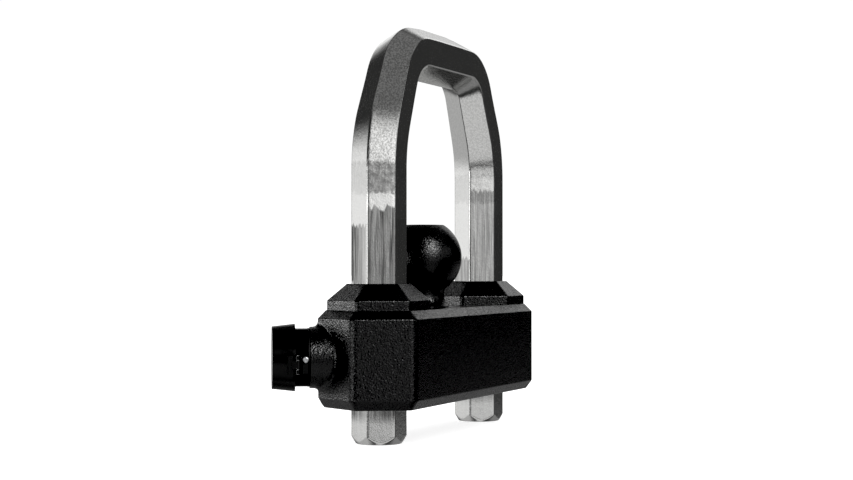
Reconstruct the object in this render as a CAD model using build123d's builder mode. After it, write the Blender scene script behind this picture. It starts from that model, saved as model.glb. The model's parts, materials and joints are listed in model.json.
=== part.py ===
"""Coupler lock for a parked trailer: a bent hexagonal bar slides through a steel body that carries
a dummy ball, and a key-turned bolt in the body's end locks the bar at one of five heights.

Millimetres, +Z up. The origin is on the body's underside, midway between the two leg holes.
X runs from the locked leg to the plain leg, and the feet of the shackle hang below the body.
"""
from build123d import *
from math import cos, radians, sin, sqrt
import os

os.makedirs("parts", exist_ok=True)

# ---------------------------------------------------------------- driving dimensions

BAR_AF = 28.575  # 1-1/8 in hexagonal bar, across flats
BAR_ROUND = 1.35  # rounding of the bar's six edges
LEG_SPACING = 159.0  # centre to centre
FOOT_Z = -21.2  # underside of the feet, with the shackle where it is drawn
FOOT_CIRCLE_R = 13.4  # circle left flat on each foot by the turned chamfer
FOOT_CHAMFER_H = 4.8  # height at which that chamfer leaves the bar's corners
SHOULDER_Z = 156.6  # where the lines of leg and slope meet
SLOPE_X = 52.9  # where the lines of slope and top meet, from the middle
ARCH_Z = 213.1  # centre line of the top
SHOULDER_R = 75.0
CROWN_R = 30.0

BODY_W = 64.0  # across the two long sides
BODY_H = 56.9
BODY_EDGE_R = 5.6  # upright edges
TOP_CHAMFER = 4.9
FOOT_EDGE_W, FOOT_EDGE_H = 4.0, 5.5  # chamfer around the underside
SIDE_SOFT_R, FOOT_SOFT_R, TOP_SOFT_R = 1.2, 0.9, 0.5  # cast edges: sides, underside and top
COLLAR_AF = 53.9
COLLAR_EDGE_R = 3.4
COLLAR_BAND_H = 5.6
COLLAR_TAPER_H = 9.8
COLLAR_TOP_AF = 32.9
COLLAR_SOFT_R, COLLAR_TOP_SOFT_R = 1.0, 0.4  # cast edges of the band and of the mouth
COLLAR_ROOT = 3.0  # how deep a collar stands in the block
LEG_HOLE_AF = 29.3
GUIDE_AF = 33.2  # outside of the guide rings
GUIDE_RUN_AF = 28.7  # inside: a running fit on the bar
GUIDE_H = 8.0
GUIDE_SLIT = 1.2
GUIDE_Z = (4.5, 55.5)  # undersides of the lower and upper rings

BALL_X = -14.0
BALL_R = 23.8  # 1-7/8 in ball
BALL_Z = 87.8
BALL_FLAT_R = 12.5
NECK_R = 12.9
NECK_Z = 63.2
NECK_FLARE = 0.6  # how much wider the neck is where it meets the ball
BALL_FOOT_R, BALL_FOOT_H = 15.75, 0.8
BALL_TOP_SOFT_R = 0.8
SHANK_R, SHANK_CHAMFER = 12.7, 1.5
NUT_AF = 38.1
NUT_H = 13.5
WASHER_R, WASHER_H, WASHER_SPLIT = 20.5, 4.0, 1.5
NUT_BORE_R, NUT_BORE_H = 25.0, 25.0
COVER_H = 3.0

# The lock lies along one corner of the locked leg. Its stations are measured along that axis from
# the leg's centre, and its local axes are x towards the cap's hinge, y up and z outwards.
LOCK_Z = 29.3
LOCK_ANGLE = 120.0  # degrees from +X, seen from above
BOSS_R, BOSS_END = 18.0, 40.8
BOSS_BLEND = 3.0
BARREL_R, BARREL_END = 17.0, 49.0
SPIGOT_R, SPIGOT_START = 14.0, 30.0
CORE_R, CORE_START, CORE_END = 10.0, 35.4, 53.6
NOSE_R, NOSE_END, NOSE_EDGE = 15.4, 54.8, 0.8
NOSE_RING_T, NOSE_RING_R, NOSE_RING_DEPTH = 52.0, 0.9, 1.3
NOSE_RING_GROOVE = 2.0
BOSS_RING_H, BOSS_RING_DEPTH, BOSS_RING_PROUD = 1.2, 1.2, 0.15
SET_SCREW_T, SET_SCREW_R, SET_SCREW_TIP = 36.5, 2.5, 12.9  # from below, its tip this far from the axis
SET_SCREW_SUNK, SET_SCREW_KEY_AF, SET_SCREW_KEY_DEPTH = 0.8, 2.5, 2.4
CORE_PIN_T, CORE_PIN_R, CORE_PIN_TIP = 45.6, 1.25, 8.2
CORE_PIN_SUNK = 0.5

NOTCH_PITCH = 12.7
NOTCH_STEPS = (-1, 0, 1, 2, 3)  # notch 0 is level with the lock as drawn
NOTCH_R, NOTCH_FLOOR = 4.8, 12.0
BOLT_NOSE_R, BOLT_R = 4.5, 7.0
BOLT_TIP, BOLT_STEP, BOLT_REAR = 17.2, 25.2, 35.0
BOLT_THROW = 5.0  # per quarter turn of the plug
RUN = 0.06  # radial running clearance
PRESS_PLAY = 0.02

TAIL_R, TAIL_END = 4.0, 25.6
FOLLOWER_R, FOLLOWER_T = 1.2, 32.5
FOLLOWER_NOSE = 3.2  # distance of the pin's round nose from the lock axis
FOLLOWER_TOP = 8.8
CAM_OVERRUN = 1.05  # cam groove past each end of the follower's travel
CAM_SIDE_PLAY = 0.15
KEYWAY_END_PLAY, KEYWAY_TOP_PLAY = 0.2, 0.4
PLUG_R, PLUG_START, PLUG_FLANGE_START = 7.0, 38.5, 51.8
FLANGE_R, FLANGE_END = 8.0, 53.4
CLIP_AT, CLIP_R, CLIP_T = 36.0, 6.0, 0.75
CLIP_GROOVE_T, CLIP_GROOVE_DEPTH, CLIP_MOUTH = 0.8, 0.6, 4.5
DISC_R, DISC_T, SPACER_T, DISC_COUNT = 5.2, 1.2, 0.5, 7
DISC_START = 39.6
DISC_PLAY = 0.1
DISC_SLOT_W, DISC_SLOT_H = 3.0, 5.6
SPACER_HOLE_R = 3.2
SIDEBAR_R, SIDEBAR_AT, SIDEBAR_L = 0.85, 5.95, 11.0
KEY_SLOT_W, KEY_SLOT_H, KEY_RIB = 2.6, 5.4, 1.6
GUARD_SUNK = 0.3

CAP_LIP, CAP_END = 49.4, 62.8
CAP_LIP_R, CAP_END_R, CAP_EDGE_R = 19.8, 18.25, 2.3
CAP_BEAD_W, CAP_BEAD_H = 1.6, 0.25  # a faint bead around the lip
CAP_BORE_R, CAP_FLOOR = 16.5, 60.0
GASKET_T, GASKET_PLAY = 1.8, 0.3
PAD_X, PAD_W, PAD_L, PAD_EDGE_R = 17.1, 4.2, 3.6, 0.9
HINGE_T, HINGE_X, HINGE_Y = 48.2, 19.6, -3.2
HINGE_HALF = 5.3  # half the length of the pin
KNUCKLE_HALF = 2.5
KNUCKLE_R = 2.1
PIN_R, PIN_PROUD = 1.0, 0.3
GAP = 0.35  # side clearance between parts that move past each other
LEAF_START, LEAF_END, LEAF_TOP, LEAF_DEPTH = 42.3, 45.7, 18.7, 6.0
LEAF_EAR_STEP, EAR_CHIN = 1.0, 0.6
BRACKET_SCREW_Y, BRACKET_SCREW_T = -0.4, 43.8
BRACKET_SCREW_R, BRACKET_SCREW_L = 1.1, 6.5
SCREW_HEAD_R, SCREW_HEAD_H, SCREW_HEAD_ROUND = 1.8, 1.4, 0.7
SCREW_KEY_AF, SCREW_KEY_DEPTH = 1.5, 0.8

lock_dir = Vector(cos(radians(LOCK_ANGLE)), sin(radians(LOCK_ANGLE)), 0)
hinge_dir = Vector(0, 0, 1).cross(lock_dir)  # local x of the lock
locked_leg = Vector(-LEG_SPACING / 2, 0, LOCK_Z)
lock_plane = Plane(origin=locked_leg, x_dir=hinge_dir, z_dir=lock_dir)
lock_axis = Axis(locked_leg, lock_dir)
half = LEG_SPACING / 2
leg_places = [(-half, 0), (half, 0)]
bar_corner_r = BAR_AF / sqrt(3)
collar_z = BODY_H + COLLAR_BAND_H
collar_top_z = collar_z + COLLAR_TAPER_H
plate_start = DISC_START + DISC_COUNT * DISC_T + (DISC_COUNT - 1) * SPACER_T

def along(station):
    """The lock's own plane, moved outwards to a station."""
    return lock_plane.offset(station)

def upright(height):
    """A plane across the lock at a local height, its x along the hinge side and its y outwards."""
    origin = lock_plane.from_local_coords(Vector(0, height, 0))
    return Plane(origin=origin, x_dir=hinge_dir, z_dir=(0, 0, -1))

def from_below(station, tip):
    """A plane that faces down across the lock, its origin a tip's distance under the axis."""
    origin = lock_plane.from_local_coords(Vector(0, -tip, station))
    return Plane(origin=origin, x_dir=hinge_dir, z_dir=(0, 0, -1))

set_screw_plane = from_below(SET_SCREW_T, SET_SCREW_TIP)
core_pin_plane = from_below(CORE_PIN_T, CORE_PIN_TIP)
bracket_screw_plane = Plane(
    origin=lock_plane.from_local_coords(Vector(LEAF_TOP, BRACKET_SCREW_Y, BRACKET_SCREW_T)),
    x_dir=lock_dir,
    z_dir=hinge_dir,
)

def lock_disc(radius, start, end, mode=Mode.ADD):
    """A round solid on the lock axis between two stations."""
    with Locations(along(start)):
        Cylinder(radius, end - start, align=(Align.CENTER, Align.CENTER, Align.MIN), mode=mode)

def hexagon(across_flats, edge_radius=0.0):
    """A hexagon with flats facing +Y and -Y and, if asked for, rounded corners."""
    with BuildSketch() as shape:
        RegularPolygon(across_flats / 2, 6, major_radius=False)
        if edge_radius:
            fillet(shape.vertices(), edge_radius)
    return shape.sketch

def edges_at(part, height):
    """The edges of a part that lie level at a height."""
    boxes = [(edge, edge.bounding_box()) for edge in part.edges()]
    return [edge for edge, box in boxes if max(abs(box.min.Z - height), abs(box.max.Z - height)) < 0.001]

# ---------------------------------------------------------------- shackle

with BuildPart() as shackle:
    with BuildLine(Plane.XZ) as centre_line:
        FilletPolyline(
            (-half, FOOT_Z),
            (-half, SHOULDER_Z),
            (-SLOPE_X, ARCH_Z),
            (SLOPE_X, ARCH_Z),
            (half, SHOULDER_Z),
            (half, FOOT_Z),
            radius=[SHOULDER_R, CROWN_R, CROWN_R, SHOULDER_R],
        )
    with BuildSketch(Plane.XY.offset(FOOT_Z)):
        with Locations((-half, 0)):
            add(hexagon(BAR_AF, BAR_ROUND))
    sweep(path=centre_line.wires()[0])

    # the turned chamfer: everything outside a cone at each foot goes
    beyond = (bar_corner_r - FOOT_CIRCLE_R) / 2
    rise = FOOT_CHAMFER_H * 1.5
    for place in leg_places:
        with BuildSketch(Plane(origin=(place[0], 0, FOOT_Z), x_dir=(1, 0, 0), z_dir=(0, -1, 0))):
            with BuildLine():
                Polyline(
                    (FOOT_CIRCLE_R, 0),
                    (bar_corner_r + beyond, 0),
                    (bar_corner_r + beyond, rise),
                    close=True,
                )
            make_face()
        revolve(axis=Axis((place[0], 0, 0), (0, 0, 1)), mode=Mode.SUBTRACT)

    # round-bottomed lock notches across the corner that faces the bolt
    for step in NOTCH_STEPS:
        with BuildSketch(along(NOTCH_FLOOR)):
            with Locations((0, step * NOTCH_PITCH)):
                Circle(NOTCH_R)
        extrude(amount=BAR_AF, mode=Mode.SUBTRACT)

shackle.part.label = "shackle"
export_step(shackle.part, "parts/shackle.step")

# ---------------------------------------------------------------- body

with BuildPart() as lock_body:
    # block: a hexagon stretched between the two legs
    corner = BODY_W / sqrt(3)
    with BuildSketch() as plan:
        with BuildLine():
            Polyline(
                (half + corner, 0),
                (half + corner / 2, BODY_W / 2),
                (-half - corner / 2, BODY_W / 2),
                (-half - corner, 0),
                (-half - corner / 2, -BODY_W / 2),
                (half + corner / 2, -BODY_W / 2),
                close=True,
            )
        make_face()
        fillet(plan.vertices(), BODY_EDGE_R)
    extrude(amount=BODY_H)
    chamfer(lock_body.faces().sort_by(Axis.Z)[-1].edges(), TOP_CHAMFER)
    underside = lock_body.faces().sort_by(Axis.Z)[0]
    chamfer(underside.edges(), FOOT_EDGE_W, FOOT_EDGE_H, reference=underside)

    for height, soft_r in (
        (BODY_H - TOP_CHAMFER, SIDE_SOFT_R),
        (FOOT_EDGE_H, SIDE_SOFT_R),
        (0, FOOT_SOFT_R),
        (BODY_H, TOP_SOFT_R),
    ):
        fillet(edges_at(lock_body.part, height), soft_r)

    # collars
    for place in leg_places:
        with BuildSketch(Plane.XY.offset(BODY_H - COLLAR_ROOT)):
            with Locations(place):
                add(hexagon(COLLAR_AF, COLLAR_EDGE_R))
        extrude(amount=COLLAR_ROOT + COLLAR_BAND_H)
        with BuildSketch(Plane.XY.offset(collar_z)):
            with Locations(place):
                add(hexagon(COLLAR_AF, COLLAR_EDGE_R))
        with BuildSketch(Plane.XY.offset(collar_top_z)):
            with Locations(place):
                add(hexagon(COLLAR_TOP_AF, COLLAR_EDGE_R / 4))
        loft(ruled=True)
    fillet(edges_at(lock_body.part, collar_z), COLLAR_SOFT_R)
    fillet(edges_at(lock_body.part, collar_top_z), COLLAR_TOP_SOFT_R)

    # boss of the lock, blended into the corner that it grows from
    lock_disc(BOSS_R, 0, BOSS_END)
    fillet(lock_body.edges(Select.NEW), BOSS_BLEND)

    # leg holes, with a groove for each guide ring
    with BuildSketch():
        for place in leg_places:
            with Locations(place):
                add(hexagon(LEG_HOLE_AF, BAR_ROUND))
    extrude(amount=BODY_H * 2, mode=Mode.SUBTRACT)
    for guide_z in GUIDE_Z:
        with BuildSketch(Plane.XY.offset(guide_z)):
            for place in leg_places:
                with Locations(place):
                    add(hexagon(GUIDE_AF, BAR_ROUND))
        extrude(amount=GUIDE_H, mode=Mode.SUBTRACT)

    # ball shank hole, and the nut's counterbore in the underside
    with BuildSketch():
        with Locations((BALL_X, 0)):
            Circle(SHANK_R + RUN)
    extrude(amount=BODY_H, mode=Mode.SUBTRACT)
    with BuildSketch():
        with Locations((BALL_X, 0)):
            Circle(NUT_BORE_R)
    extrude(amount=NUT_BORE_H, mode=Mode.SUBTRACT)

    # stepped bore of the lock, and the keyway of the follower pin
    lock_disc(BOLT_NOSE_R + RUN, 0, BOLT_STEP, mode=Mode.SUBTRACT)
    lock_disc(BOLT_R + RUN, BOLT_STEP - BOLT_THROW - KEYWAY_END_PLAY, BOSS_END, mode=Mode.SUBTRACT)
    lock_disc(SPIGOT_R, SPIGOT_START, BOSS_END, mode=Mode.SUBTRACT)
    keyway_start = FOLLOWER_T - BOLT_THROW - FOLLOWER_R - KEYWAY_END_PLAY
    keyway_top = FOLLOWER_TOP + KEYWAY_TOP_PLAY
    with BuildSketch(along(keyway_start)):
        with Locations((0, keyway_top / 2)):
            Rectangle(2 * (FOLLOWER_R + RUN), keyway_top)
    extrude(amount=SPIGOT_START - keyway_start, mode=Mode.SUBTRACT)

    # tapped hole of the barrel's set screw, from below
    with BuildSketch(set_screw_plane):
        Circle(SET_SCREW_R)
    extrude(amount=BOSS_R, mode=Mode.SUBTRACT)

lock_body.part.label = "lock_body"
export_step(lock_body.part, "parts/lock_body.step")

# ---------------------------------------------------------------- ball, nut, washer and cover

with BuildPart() as ball_stud:
    neck_top_r = NECK_R + NECK_FLARE
    neck_top_z = BALL_Z - sqrt(BALL_R**2 - neck_top_r**2)
    flat_z = BALL_Z + sqrt(BALL_R**2 - BALL_FLAT_R**2)
    shank_end = COVER_H + SHANK_CHAMFER
    foot_z = BODY_H + BALL_FOOT_H
    with BuildSketch(Plane(origin=(BALL_X, 0, 0), x_dir=(1, 0, 0), z_dir=(0, -1, 0))):
        with BuildLine() as outline:
            Line((0, flat_z), (BALL_FLAT_R, flat_z))
            ThreePointArc((BALL_FLAT_R, flat_z), (BALL_R, BALL_Z), (neck_top_r, neck_top_z))
            ThreePointArc((neck_top_r, neck_top_z), (NECK_R, NECK_Z), (BALL_FOOT_R, foot_z))
            Polyline(
                (BALL_FOOT_R, foot_z),
                (BALL_FOOT_R, BODY_H),
                (SHANK_R, BODY_H),
                (SHANK_R, shank_end + SHANK_CHAMFER),
                (SHANK_R - SHANK_CHAMFER, shank_end),
                (0, shank_end),
                (0, flat_z),
            )
        make_face()
    revolve(axis=Axis((BALL_X, 0, 0), (0, 0, 1)))
    fillet(ball_stud.edges().filter_by(GeomType.CIRCLE).sort_by(Axis.Z)[-1], BALL_TOP_SOFT_R)

ball_stud.part.label = "ball_stud"
export_step(ball_stud.part, "parts/ball_stud.step")

with BuildPart() as ball_nut:
    nut_z = NUT_BORE_H - WASHER_H - NUT_H
    with BuildSketch(Plane.XY.offset(nut_z)):
        with Locations((BALL_X, 0)):
            RegularPolygon(NUT_AF / 2, 6, major_radius=False)
            Circle(SHANK_R + PRESS_PLAY, mode=Mode.SUBTRACT)
    extrude(amount=NUT_H)

ball_nut.part.label = "ball_nut"
export_step(ball_nut.part, "parts/ball_nut.step")

with BuildPart() as ball_lock_washer:
    with BuildSketch(Plane.XY.offset(NUT_BORE_H - WASHER_H)):
        with Locations((BALL_X, 0)):
            Circle(WASHER_R)
            Circle(SHANK_R + GAP, mode=Mode.SUBTRACT)
        with Locations((BALL_X + WASHER_R, 0)):
            Rectangle(WASHER_R, WASHER_SPLIT, mode=Mode.SUBTRACT)
    extrude(amount=WASHER_H)

ball_lock_washer.part.label = "ball_lock_washer"
export_step(ball_lock_washer.part, "parts/ball_lock_washer.step")

with BuildPart() as nut_cover:
    with BuildSketch():
        with Locations((BALL_X, 0)):
            Circle(NUT_BORE_R)
    extrude(amount=COVER_H)
    chamfer(nut_cover.faces().sort_by(Axis.Z)[0].edges(), 0.5)

nut_cover.part.label = "nut_cover"
export_step(nut_cover.part, "parts/nut_cover.step")

# ---------------------------------------------------------------- guide rings of the legs

with BuildPart() as leg_guides:
    for guide_z in GUIDE_Z:
        with BuildSketch(Plane.XY.offset(guide_z)):
            for place in leg_places:
                with Locations(place):
                    add(hexagon(GUIDE_AF, BAR_ROUND))
                    add(hexagon(GUIDE_RUN_AF, BAR_ROUND), mode=Mode.SUBTRACT)
                with Locations((place[0], -GUIDE_AF / 2)):
                    Rectangle(GUIDE_SLIT, GUIDE_AF / 2, mode=Mode.SUBTRACT)
        extrude(amount=GUIDE_H)

leg_guides.part.label = "leg_guides"
export_step(leg_guides.part, "parts/leg_guides.step")

# ---------------------------------------------------------------- lock barrel and its core

with BuildPart() as lock_barrel:
    lock_disc(SPIGOT_R, SPIGOT_START, BOSS_END)
    lock_disc(BARREL_R, BOSS_END, BARREL_END)
    lock_disc(NOSE_R, BARREL_END, NOSE_END)
    chamfer(lock_barrel.faces().sort_by(lock_axis)[-1].edges(), NOSE_EDGE)
    lock_disc(CORE_R, SPIGOT_START, NOSE_END, mode=Mode.SUBTRACT)
    # groove of the nose's ring
    with BuildSketch(along(NOSE_RING_T - NOSE_RING_GROOVE / 2)):
        Circle(BARREL_R)
        Circle(NOSE_R - NOSE_RING_DEPTH, mode=Mode.SUBTRACT)
    extrude(amount=NOSE_RING_GROOVE, mode=Mode.SUBTRACT)
    # groove of the ring under the barrel's shoulder
    with BuildSketch(along(BOSS_END)):
        Circle(BOSS_R)
        Circle(BARREL_R - BOSS_RING_DEPTH, mode=Mode.SUBTRACT)
    extrude(amount=BOSS_RING_H, mode=Mode.SUBTRACT)
    # spot for the set screw's tip, and holes for the bracket's screw and the core's pin
    with BuildSketch(set_screw_plane):
        Circle(SET_SCREW_R)
    extrude(amount=SPIGOT_R - SET_SCREW_TIP + 1, mode=Mode.SUBTRACT)
    with BuildSketch(bracket_screw_plane):
        Circle(BRACKET_SCREW_R)
    extrude(amount=-BRACKET_SCREW_L - GAP, mode=Mode.SUBTRACT)
    with BuildSketch(core_pin_plane):
        Circle(CORE_PIN_R)
    extrude(amount=BARREL_R, mode=Mode.SUBTRACT)

lock_barrel.part.label = "lock_barrel"
export_step(lock_barrel.part, "parts/lock_barrel.step")

with BuildPart() as boss_o_ring:
    with BuildSketch(along(BOSS_END)):
        Circle(BARREL_R + BOSS_RING_PROUD)
        Circle(BARREL_R - BOSS_RING_DEPTH, mode=Mode.SUBTRACT)
    extrude(amount=BOSS_RING_H)

boss_o_ring.part.label = "boss_o_ring"
export_step(boss_o_ring.part, "parts/boss_o_ring.step")

with BuildPart() as nose_o_ring:
    with BuildSketch(upright(0)):
        with Locations((NOSE_R - NOSE_RING_DEPTH + NOSE_RING_R, NOSE_RING_T)):
            Circle(NOSE_RING_R)
    revolve(axis=lock_axis)

nose_o_ring.part.label = "nose_o_ring"
export_step(nose_o_ring.part, "parts/nose_o_ring.step")

with BuildPart() as cylinder_housing:
    lock_disc(CORE_R, CORE_START, CORE_END)
    lock_disc(FLANGE_R + RUN, PLUG_FLANGE_START, CORE_END, mode=Mode.SUBTRACT)
    lock_disc(PLUG_R + RUN, PLUG_START - DISC_PLAY, PLUG_FLANGE_START, mode=Mode.SUBTRACT)
    lock_disc(TAIL_R + RUN, CORE_START, PLUG_START, mode=Mode.SUBTRACT)
    lock_disc(BOLT_R, CORE_START, CLIP_AT + 1, mode=Mode.SUBTRACT)
    with BuildSketch(core_pin_plane):
        Circle(CORE_PIN_R)
    extrude(amount=BARREL_R, mode=Mode.SUBTRACT)

cylinder_housing.part.label = "cylinder_housing"
export_step(cylinder_housing.part, "parts/cylinder_housing.step")

with BuildPart() as lock_plug:
    lock_disc(TAIL_R, TAIL_END, PLUG_START)
    lock_disc(PLUG_R, PLUG_START, PLUG_FLANGE_START)
    lock_disc(FLANGE_R, PLUG_FLANGE_START, FLANGE_END)
    lock_disc(DISC_R + DISC_PLAY, DISC_START, FLANGE_END, mode=Mode.SUBTRACT)
    # slot of the sidebar
    with BuildSketch(along(DISC_START)):
        with Locations((DISC_R, 0)):
            Rectangle(PLUG_R, 2 * SIDEBAR_R + DISC_PLAY, align=(Align.MIN, Align.CENTER))
    extrude(amount=SIDEBAR_L + 3 * DISC_PLAY, mode=Mode.SUBTRACT)
    # groove of the retaining clip
    with BuildSketch(along(CLIP_AT)):
        Circle(CLIP_R)
        Circle(TAIL_R - CLIP_GROOVE_DEPTH, mode=Mode.SUBTRACT)
    extrude(amount=CLIP_GROOVE_T, mode=Mode.SUBTRACT)
    # helical cam groove: a quarter turn moves the follower by the bolt's throw
    pitch = 4 * BOLT_THROW
    turn = Helix(pitch, BOLT_THROW + 2 * CAM_OVERRUN, FOLLOWER_NOSE)
    spin = -CAM_OVERRUN / pitch * 360
    start = FOLLOWER_T - BOLT_THROW - CAM_OVERRUN
    cam_r = FOLLOWER_R + CAM_SIDE_PLAY
    route = lock_plane.location * Location((0, 0, start), (0, 0, spin)) * turn
    first = route @ 0
    outward = (first - lock_plane.from_local_coords(Vector(0, 0, start))).normalized()
    cut_plane = Plane(origin=first, x_dir=outward, z_dir=route % 0)
    with BuildSketch(cut_plane):
        Circle(cam_r)
        Rectangle(2 * cam_r, 2 * cam_r, align=(Align.MIN, Align.CENTER))
    sweep(path=route, is_frenet=True, mode=Mode.SUBTRACT)

lock_plug.part.label = "lock_plug"
export_step(lock_plug.part, "parts/lock_plug.step")

with BuildPart() as plug_clip:
    with BuildSketch(along(CLIP_AT)):
        Circle(CLIP_R)
        Circle(TAIL_R - CLIP_GROOVE_DEPTH + RUN, mode=Mode.SUBTRACT)
        Rectangle(CLIP_MOUTH, 2 * CLIP_R, align=(Align.CENTER, Align.MAX), mode=Mode.SUBTRACT)
    extrude(amount=CLIP_T)

plug_clip.part.label = "plug_clip"
export_step(plug_clip.part, "parts/plug_clip.step")

with BuildPart() as detainer_discs:
    for n in range(DISC_COUNT):
        with BuildSketch(along(DISC_START + n * (DISC_T + SPACER_T))):
            Circle(DISC_R)
            Rectangle(DISC_SLOT_W, DISC_SLOT_H, mode=Mode.SUBTRACT)
            with Locations((SIDEBAR_AT, 0)):
                Circle(SIDEBAR_R + DISC_PLAY, mode=Mode.SUBTRACT)
        extrude(amount=DISC_T)

detainer_discs.part.label = "detainer_discs"
export_step(detainer_discs.part, "parts/detainer_discs.step")

with BuildPart() as disc_spacers:
    for n in range(DISC_COUNT - 1):
        with BuildSketch(along(DISC_START + DISC_T + n * (DISC_T + SPACER_T))):
            Circle(DISC_R)
            Circle(SPACER_HOLE_R, mode=Mode.SUBTRACT)
            with Locations((SIDEBAR_AT, 0)):
                Circle(SIDEBAR_R + DISC_PLAY, mode=Mode.SUBTRACT)
        extrude(amount=SPACER_T)

disc_spacers.part.label = "disc_spacers"
export_step(disc_spacers.part, "parts/disc_spacers.step")

with BuildPart() as sidebar:
    with BuildSketch(along(DISC_START + DISC_PLAY)):
        with Locations((SIDEBAR_AT, 0)):
            Circle(SIDEBAR_R)
    extrude(amount=SIDEBAR_L)

sidebar.part.label = "sidebar"
export_step(sidebar.part, "parts/sidebar.step")

with BuildPart() as guard_plate:
    with BuildSketch(along(plate_start)):
        Circle(DISC_R + DISC_PLAY)
        Rectangle(KEY_SLOT_W, KEY_SLOT_H, mode=Mode.SUBTRACT)
        with Locations((KEY_SLOT_W / 2, KEY_SLOT_H / 4)):
            Rectangle(KEY_RIB, KEY_RIB, mode=Mode.SUBTRACT)
        with Locations((SIDEBAR_AT, 0)):
            Rectangle(DISC_SLOT_W, 2 * SIDEBAR_R + DISC_PLAY, mode=Mode.SUBTRACT)
    extrude(amount=FLANGE_END - GUARD_SUNK - plate_start)

guard_plate.part.label = "guard_plate"
export_step(guard_plate.part, "parts/guard_plate.step")

# ---------------------------------------------------------------- bolt and its follower pin

with BuildPart() as locking_bolt:
    lock_disc(BOLT_NOSE_R, BOLT_TIP, BOLT_STEP)
    chamfer(locking_bolt.faces().sort_by(lock_axis)[0].edges(), NOSE_EDGE)
    lock_disc(BOLT_R, BOLT_STEP, BOLT_REAR)
    lock_disc(TAIL_R + RUN, BOLT_STEP + DISC_PLAY, BOLT_REAR, mode=Mode.SUBTRACT)
    with BuildSketch(from_below(FOLLOWER_T, 0)):
        Circle(FOLLOWER_R + PRESS_PLAY)
    extrude(amount=-BOLT_R - 1, mode=Mode.SUBTRACT)

locking_bolt.part.label = "locking_bolt"
export_step(locking_bolt.part, "parts/locking_bolt.step")

with BuildPart() as follower_pin:
    nose_centre = lock_plane.from_local_coords(Vector(0, FOLLOWER_NOSE, FOLLOWER_T))
    with BuildSketch(Plane(origin=nose_centre, x_dir=hinge_dir, z_dir=(0, 0, 1))):
        Circle(FOLLOWER_R)
    extrude(amount=FOLLOWER_TOP - FOLLOWER_NOSE)
    with Locations(nose_centre):
        Sphere(FOLLOWER_R)

follower_pin.part.label = "follower_pin"
export_step(follower_pin.part, "parts/follower_pin.step")

with BuildPart() as barrel_set_screw:
    set_screw_length = BOSS_R - SET_SCREW_TIP - SET_SCREW_SUNK
    with BuildSketch(set_screw_plane):
        Circle(SET_SCREW_R)
    extrude(amount=set_screw_length)
    with BuildSketch(set_screw_plane.offset(set_screw_length)):
        RegularPolygon(SET_SCREW_KEY_AF / 2, 6, major_radius=False)
    extrude(amount=-SET_SCREW_KEY_DEPTH, mode=Mode.SUBTRACT)

barrel_set_screw.part.label = "barrel_set_screw"
export_step(barrel_set_screw.part, "parts/barrel_set_screw.step")

# ---------------------------------------------------------------- dust cap and its hinge

with BuildPart() as dust_cap:
    with BuildSketch(upright(0)) as cap_half:
        with BuildLine():
            Polyline(
                (0, CAP_END),
                (CAP_END_R, CAP_END),
                (CAP_LIP_R - CAP_BEAD_H, CAP_LIP + CAP_BEAD_W),
                (CAP_LIP_R, CAP_LIP),
                (CAP_BORE_R, CAP_LIP),
                (CAP_BORE_R, CAP_FLOOR),
                (0, CAP_FLOOR),
                close=True,
            )
        make_face()
        rim = lock_plane.from_local_coords(Vector(CAP_END_R, 0, CAP_END))
        fillet(cap_half.vertices().sort_by_distance(rim)[0], CAP_EDGE_R)
    revolve(axis=lock_axis)
    # hollow in the lip that the bracket's ears stand in
    with BuildSketch(upright(HINGE_Y)):
        with Locations((HINGE_X, HINGE_T)):
            Circle(KNUCKLE_R + GAP)
    extrude(amount=HINGE_HALF + GAP, both=True, mode=Mode.SUBTRACT)
    # pad outside the lip, as tall as the pin is long
    pad_start = HINGE_T + KNUCKLE_R + GAP + DISC_PLAY
    with BuildSketch(upright(HINGE_Y)) as pad:
        with Locations((PAD_X, pad_start)):
            Rectangle(PAD_W, PAD_L, align=(Align.MIN, Align.MIN))
        fillet(pad.vertices().group_by(Axis(lock_axis.position, hinge_dir))[-1], PAD_EDGE_R)
    extrude(amount=HINGE_HALF, both=True)
    # knuckle between the ears
    with BuildSketch(upright(HINGE_Y)):
        with Locations((HINGE_X, HINGE_T)):
            Circle(KNUCKLE_R)
            Rectangle(2 * KNUCKLE_R, pad_start - HINGE_T + 1, align=(Align.CENTER, Align.MIN))
    extrude(amount=KNUCKLE_HALF, both=True)
    with BuildSketch(upright(HINGE_Y)):
        with Locations((HINGE_X, HINGE_T)):
            Circle(PIN_R + RUN)
    extrude(amount=HINGE_HALF, both=True, mode=Mode.SUBTRACT)

dust_cap.part.label = "dust_cap"
export_step(dust_cap.part, "parts/dust_cap.step")

with BuildPart() as cap_hinge_pin:
    with BuildSketch(upright(HINGE_Y)):
        with Locations((HINGE_X, HINGE_T)):
            Circle(PIN_R)
    extrude(amount=HINGE_HALF + PIN_PROUD, both=True)
    chamfer(cap_hinge_pin.edges().filter_by(GeomType.CIRCLE), PIN_R / 5)

cap_hinge_pin.part.label = "cap_hinge_pin"
export_step(cap_hinge_pin.part, "parts/cap_hinge_pin.step")

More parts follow.
